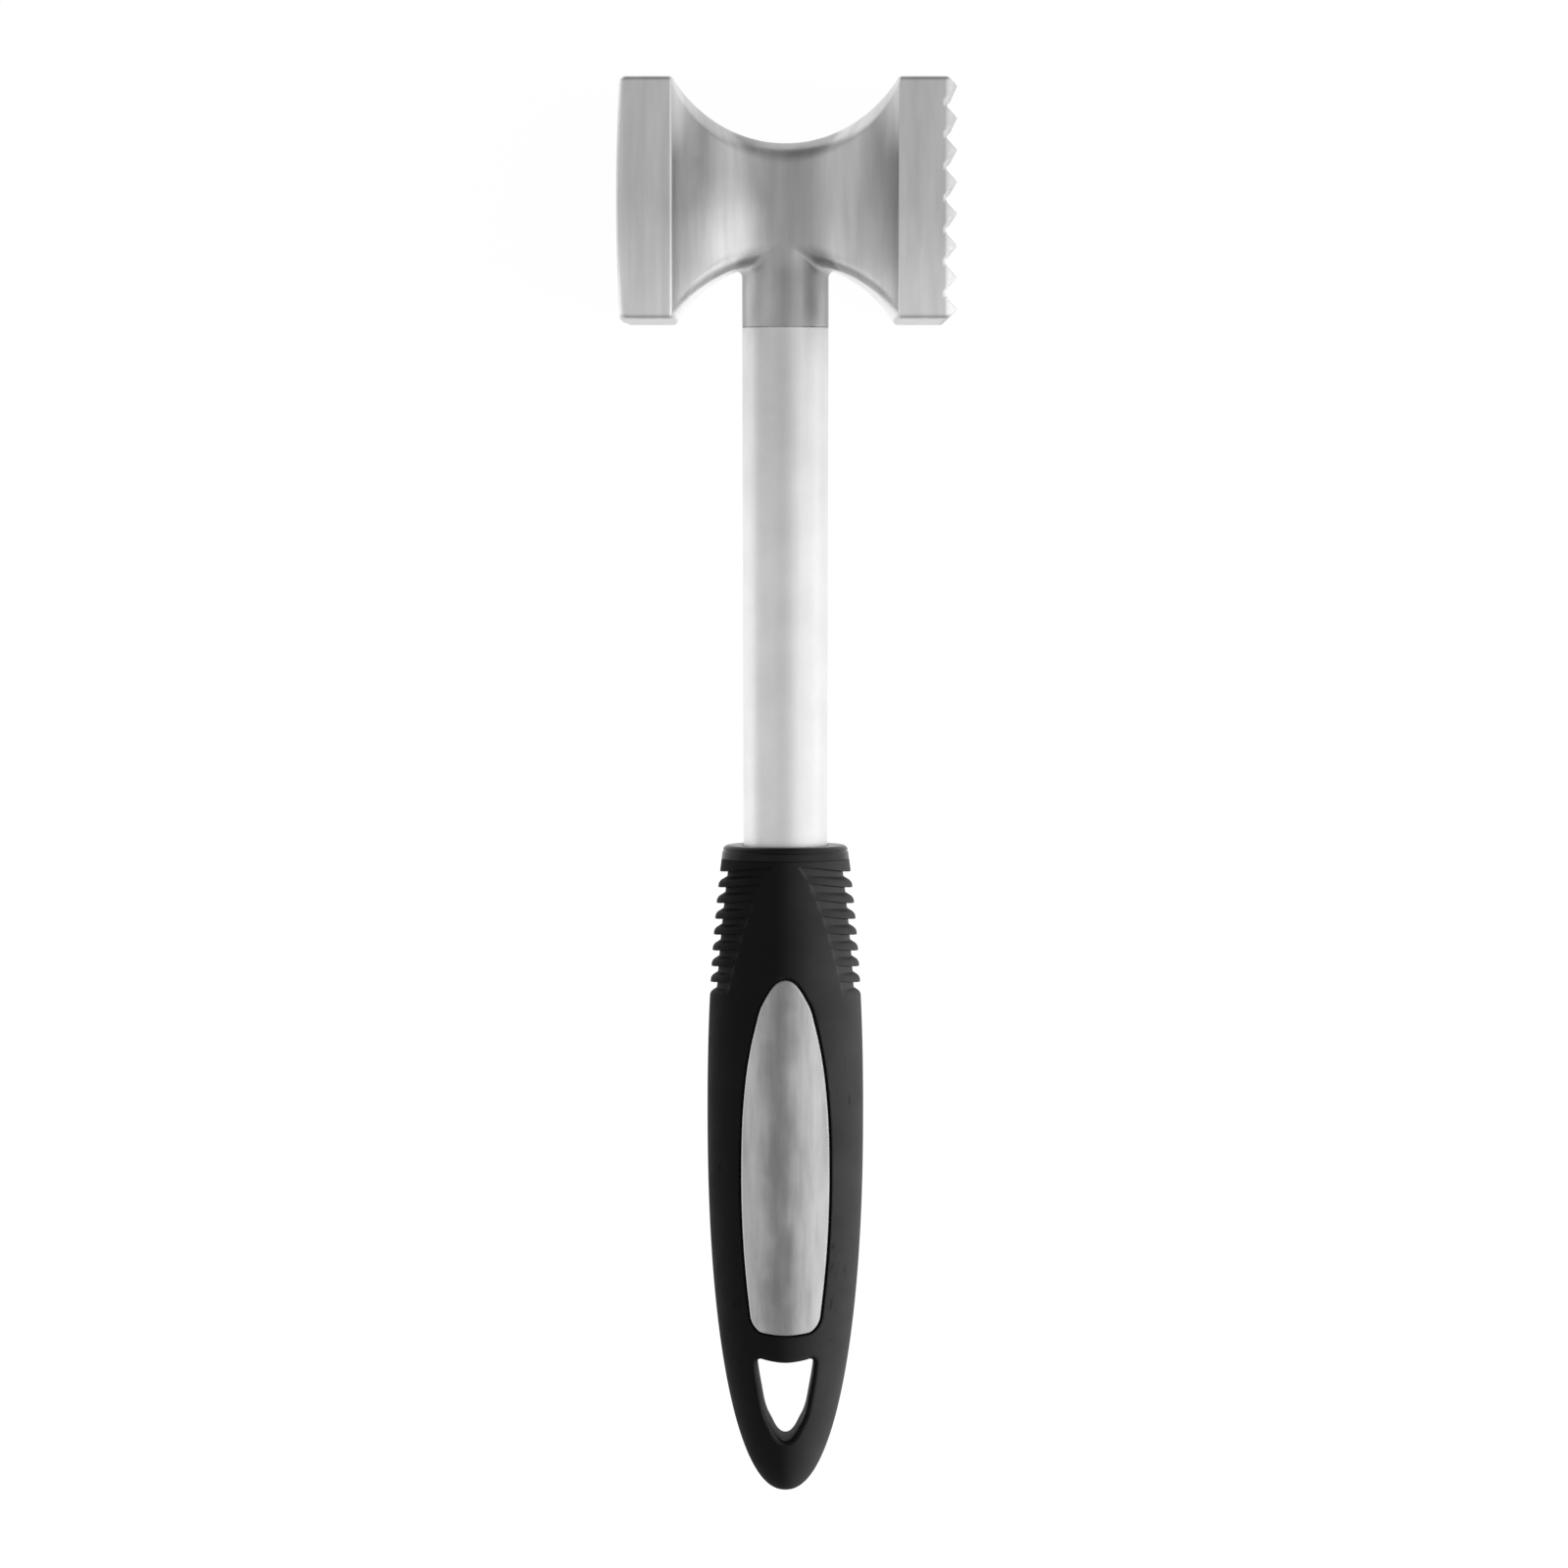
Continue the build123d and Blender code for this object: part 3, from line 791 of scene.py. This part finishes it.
cast_aluminium = metal(
    "cast_aluminium", (0.60, 0.60, 0.604), (0.76, 0.76, 0.764), (0.30, 0.38),
    [((1100, 3.0, (1, 0.06, 1)), 0.000012), ((2600, 2.0), 0.000006)],
    (300, 5.0, (1, 0.12, 1)), (700, 3.0, (1, 0.08, 1)),
    painted_light_and_shade=(
        # Painted light towards the grip; painted shade on the neck boss, and most of all down its middle
        (0.28, (("Y", 0.083, 0.0, 0.022),)),
        (-0.38, (("Z", 0.021, 0.0079, 0.0094), ("X", 0.0, 0.008, 0.010))),
        (-0.24, (("X", 0.0018, 0.002, 0.006), ("Y", 0.082, 0.009, 0.014))),
        # Waist: painted shade high on the left, painted light low on the left
        (-0.30, (("X", -0.010, 0.004, 0.008), ("Y", 0.118, 0.009, 0.018))),
        (0.14, (("X", -0.014, 0.003, 0.008), ("Y", 0.090, 0.006, 0.014))),
    ),
    edges=(
        # Painted shade on the lower edges of the two ends, the top edge and the smooth face
        (-0.42, (("Y", 0.083, 0.0003, 0.0010), ("X", 0.0255, 0.0062, 0.0085))),
        (-0.42, (("Y", 0.083, 0.0003, 0.0010), ("X", -0.0255, 0.0062, 0.0085))),
        (-0.25, (("Y", 0.125, 0.0002, 0.0008),)),
        (-0.20, (("X", -0.0298, 0.0008, 0.0011),)),
        # Painted shade on the sides of the neck boss
        (-0.35, (("X", 0.0079, 0.0004, 0.0014), ("Y", 0.086, 0.004, 0.007))),
        (-0.35, (("X", -0.0079, 0.0004, 0.0014), ("Y", 0.086, 0.004, 0.007))),
    ),
)
stem_aluminium = metal(
    "stem_aluminium", (0.82, 0.82, 0.823), (0.89, 0.89, 0.893), (0.34, 0.42),
    [((1400, 3.0, (1, 0.04, 1)), 0.000008)],
    (120, 3.0), (900, 3.0, (1, 0.06, 1)),
    # Painted shade on the stem near the head
    painted_light_and_shade=((-0.14, (("Y", 0.083, 0.005, 0.055),)),),
)
badge_steel = metal(
    "badge_steel", (0.46, 0.46, 0.463), (0.64, 0.64, 0.643), (0.20, 0.30),
    [((1500, 3.0, (1, 0.03, 1)), 0.000012)],
    (520, 6.0, (1, 0.14, 1)), (1200, 3.0, (1, 0.03, 1)),
    # Painted dark reflection down the badge's middle
    painted_light_and_shade=((-0.40, (("X", -0.0012, 0.0002, 0.0042),)),),
)
screw_steel = metal(
    "screw_steel", (0.45, 0.45, 0.45), (0.56, 0.56, 0.56), (0.3, 0.45),
    [((600, 3.0), 0.00002)], (200, 3.0), (500, 3.0),
)


def polymer(name, dark, light, roughness, layers, specular=0.5):
    """Rubber or plastic: near-black with a faint uneven sheen."""
    material, shader = new_material(name)
    tone = remap(material, noise(material, *POLYMER_TONE), 0, 1, *NOISE_SPAN)
    link(material, grey_mix(material, tone, dark, light), shader.inputs["Base Color"])
    rough = remap(material, noise(material, *POLYMER_SHEEN), *roughness, *NOISE_SPAN)
    link(material, rough, shader.inputs["Roughness"])
    shader.inputs["Specular IOR Level"].default_value = specular
    bump(material, shader, [(noise(material, *marks), distance) for marks, distance in layers])
    return material


grip_rubber = polymer(
    "grip_rubber", (0.007, 0.007, 0.007), (0.009, 0.009, 0.009), (0.56, 0.66),
    [((4200, 3.0), 0.00001)], specular=0.06,
)
collar_plastic = polymer(
    "collar_plastic", (0.003, 0.003, 0.003), (0.005, 0.005, 0.005), (0.22, 0.30),
    [((3000, 3.0), 0.000006)], specular=0.2,
)
core_plastic = polymer(
    "core_plastic", (0.012, 0.012, 0.012), (0.02, 0.02, 0.02), (0.45, 0.6),
    [((900, 3.0), 0.00002)],
)
pad_adhesive = polymer(
    "pad_adhesive", (0.03, 0.03, 0.03), (0.05, 0.05, 0.05), (0.6, 0.75),
    [((1500, 3.0), 0.00003)],
)


# ---------------------------------------------------------------- pieces

TOOTH_STEP = TOOTH_PITCH / 14
FACE_PLACES = np.arange(-54.5, 55) * TOOTH_STEP
HEAD_GRIDS = (
    spaced((-30.3, -28.5, 0.22), (-28.5, -21.0, 1.25), (-21.0, -18.9, 0.15), (-18.9, -10.2, 0.7),
           (-10.2, -5.4, 0.3), (-5.4, 5.4, 0.6), (5.4, 10.2, 0.3), (10.2, 18.9, 0.7),
           (18.9, 21.0, 0.15), (21.0, 25.8, 0.8), (25.8, 30.2, TOOTH_STEP)),
    np.concatenate([spaced((-33.0, -32.4, 0.1), (-32.4, FACE_PLACES[0] - 0.3, 0.35)), FACE_PLACES]),
    FACE_PLACES,
)
RIB_STEP = RIB_PITCH / 14
RIBS_TOP = FIRST_RIB_Y + RIB_STEP / 2
RIBS_END = RIBS_TOP - (RIB_COUNT + 0.5) * RIB_PITCH
ROUND_STEPS = 240
ROUND_PLACES = -pi + 2 * pi * np.arange(ROUND_STEPS + 2) / ROUND_STEPS
SLEEVE_GRIDS = (
    ROUND_PLACES,
    spaced((NOSE_SEAM_Y - 0.2, -94.2, 0.3), (-94.2, RIBS_END, 0.9), (RIBS_END, RIBS_TOP, RIB_STEP),
           (RIBS_TOP, -11.8, 0.12)),
    spaced((-2.7, -1.8, 0.3), (-1.8, 0.3, 0.15)),
)
NOSE_GRIDS = (
    spaced((-12.1, -6.0, 0.45), (-6.0, 6.0, 0.3), (6.0, 12.1, 0.45)),
    spaced((-125.3, -124.0, 0.15), (-124.0, -117.0, 0.4), (-117.0, NOSE_SEAM_Y + 1.2, 0.3)),
    spaced((11.2, 30.8, 0.4)),
)
COLLAR_GRIDS = (
    ROUND_PLACES,
    spaced((-12.4, -9.3, 0.1)),
    spaced((-4.9, -3.1, 0.1), (-3.1, -1.2, 0.25), (-1.2, 0.3, 0.1)),
)
BADGE_GRIDS = (
    spaced((-1.06, -0.88, 0.02), (-0.88, 0.88, 0.04), (0.88, 1.06, 0.02)),
    spaced((-96.5, -94.0, 0.12), (-94.0, -40.0, 0.6), (-40.0, -32.5, 0.12)),
    spaced((-1.0, -0.6, 0.1), (-0.6, -0.4, 0.2), (-0.4, 0.3, 0.1)),
)

carve("head_looks", head_field, HEAD_GRIDS, head_places, cast_aluminium, "mallet_head")
carve("badge_looks", badge_field, BADGE_GRIDS, badge_places, badge_steel, "badge")
carve(
    "collar_looks", collar_field, COLLAR_GRIDS, grip_places, collar_plastic, "grip_collar",
    closed=True,
)
carve(
    "sleeve_looks", sleeve_field, SLEEVE_GRIDS, grip_places, grip_rubber, "grip_sleeve",
    closed=True, hidden=sleeve_inside,
)
carve(
    "nose_looks", nose_field, NOSE_GRIDS, plain_places, grip_rubber, "grip_sleeve",
    hidden=sleeve_inside,
)
lathe(
    "stem_looks",
    (
        (0, stem_high.y), (SPIGOT_RADIUS - SPIGOT_CHAMFER, stem_high.y),
        (SPIGOT_RADIUS, stem_high.y - SPIGOT_CHAMFER), (SPIGOT_RADIUS, NECK_END_Y),
        (NECK_RADIUS - SEAM_CHAMFER, NECK_END_Y), (NECK_RADIUS, NECK_END_Y - SEAM_CHAMFER),
        (STEM_END_RADIUS, COLLAR_TOP_Y), (STEM_END_RADIUS, COLLAR_TOP_Y - STEM_SEAT_DEPTH),
        (TANG_RADIUS, COLLAR_TOP_Y - STEM_SEAT_DEPTH), (TANG_RADIUS, stem_low.y + TANG_CHAMFER),
        (TANG_RADIUS - TANG_CHAMFER, stem_low.y), (0, stem_low.y),
    ),
    stem_aluminium, "stem",
)

for node, material in (
    ("grip_core", core_plastic), ("badge_pad", pad_adhesive), ("tang_screws", screw_steel),
):
    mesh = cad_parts[node].data
    mesh.materials.clear()
    mesh.materials.append(material)


# ---------------------------------------------------------------- stage

FLOOR_REACH = 6000.0
FLOOR_DROP = 0.05
FLOOR_GLOW = 0.96
BACKDROP_RADIUS = 9000.0

pale_material, pale_shader = new_material("floor")
pale_shader.inputs["Base Color"].default_value = (0.05, 0.05, 0.05, 1)
pale_shader.inputs["Roughness"].default_value = 0.9
pale_shader.inputs["Emission Color"].default_value = (1, 1, 1, 1)
pale_shader.inputs["Emission Strength"].default_value = FLOOR_GLOW


def stage_object(name, mesh):
    """Pale object that isn't part of the tool."""
    mesh.materials.append(pale_material)
    staged = bpy.data.objects.new(name, mesh)
    bpy.context.scene.collection.objects.link(staged)
    return staged


floor_mesh = bpy.data.meshes.new("floor")
floor_z = head_low.z - FLOOR_DROP
corners = [(sx * FLOOR_REACH, sy * FLOOR_REACH) for sx, sy in ((-1, -1), (1, -1), (1, 1), (-1, 1))]
floor_mesh.from_pydata([(x * MM, y * MM, floor_z * MM) for x, y in corners], [], [(0, 1, 2, 3)])
stage_object("floor", floor_mesh)

# Pale backdrop all round; only the camera sees it, so it lights nothing and casts no shadow
backdrop_mesh = bpy.data.meshes.new("backdrop")
backdrop_form = bmesh.new()
bmesh.ops.create_uvsphere(backdrop_form, u_segments=48, v_segments=24, radius=BACKDROP_RADIUS * MM)
backdrop_form.to_mesh(backdrop_mesh)
backdrop_form.free()
backdrop = stage_object("backdrop", backdrop_mesh)
backdrop.visible_diffuse = False
backdrop.visible_glossy = False
backdrop.visible_transmission = False
backdrop.visible_shadow = False


# ---------------------------------------------------------------- camera

camera_data = bpy.data.cameras.new("camera")
camera_data.lens = 136.9
camera_data.sensor_width = 36.0
camera_data.clip_start = 0.01
camera_data.clip_end = 50.0
camera = bpy.data.objects.new("camera", camera_data)
bpy.context.scene.collection.objects.link(camera)
camera_place = Vector((-0.24, 54.8, 1078.6)) * MM
camera_target = Vector((-0.24, 1.2, 21.0)) * MM
toward = (camera_target - camera_place).normalized()
right = toward.cross(Vector((0, 1, 0))).normalized()
up = right.cross(toward)
turn = Matrix((right, up, -toward)).transposed().to_4x4()
camera.matrix_world = Matrix.Translation(camera_place) @ turn
bpy.context.scene.camera = camera
bpy.context.scene.view_settings.view_transform = "Standard"


# ---------------------------------------------------------------- light


def area_light(name, place, target, size, power):
    """Rectangular softbox aimed at a point; sizes in metres."""
    data = bpy.data.lights.new(name, "AREA")
    data.shape = "RECTANGLE"
    data.size, data.size_y = size
    data.energy = power
    light = bpy.data.objects.new(name, data)
    bpy.context.scene.collection.objects.link(light)
    light.location = place
    light.rotation_euler = (Vector(target) - Vector(place)).to_track_quat("-Z", "Y").to_euler()
    return light


key = area_light("key_softbox", (0.95, -0.10, 0.09), (0.0, -0.05, 0.02), (0.40, 0.16), 76)
key.visible_glossy = False

# Bright surroundings: level all round, then what is added as a direction's part along an
# axis goes from a first value to a second
SURROUND_LEVEL = 0.70
SURROUND_GAINS = (
    ("X", 0.0, 0.7, 0.35), ("X", -0.3, -0.9, -0.04),
    ("Y", 0.15, 0.8, -0.45), ("Y", -0.1, -0.9, -0.20),
    ("Z", 0.84, 1.0, -0.14),
)

world = bpy.data.worlds.new("world")
world.use_nodes = True
bpy.context.scene.world = world
background = world.node_tree.nodes["Background"]
axes = add(world, "ShaderNodeSeparateXYZ")
link(world, add(world, "ShaderNodeTexCoord").outputs["Generated"], axes.inputs["Vector"])
level = None
for axis, first, second, gain in SURROUND_GAINS:
    part = remap(world, axes.outputs[axis], 0, gain, first, second)
    total = add(world, "ShaderNodeMath")
    total.inputs[1].default_value = SURROUND_LEVEL
    link(world, part, total.inputs[0])
    if level is not None:
        link(world, level, total.inputs[1])
    level = total.outputs["Value"]
link(world, level, background.inputs["Strength"])
background.inputs["Color"].default_value = (1, 1, 1, 1)
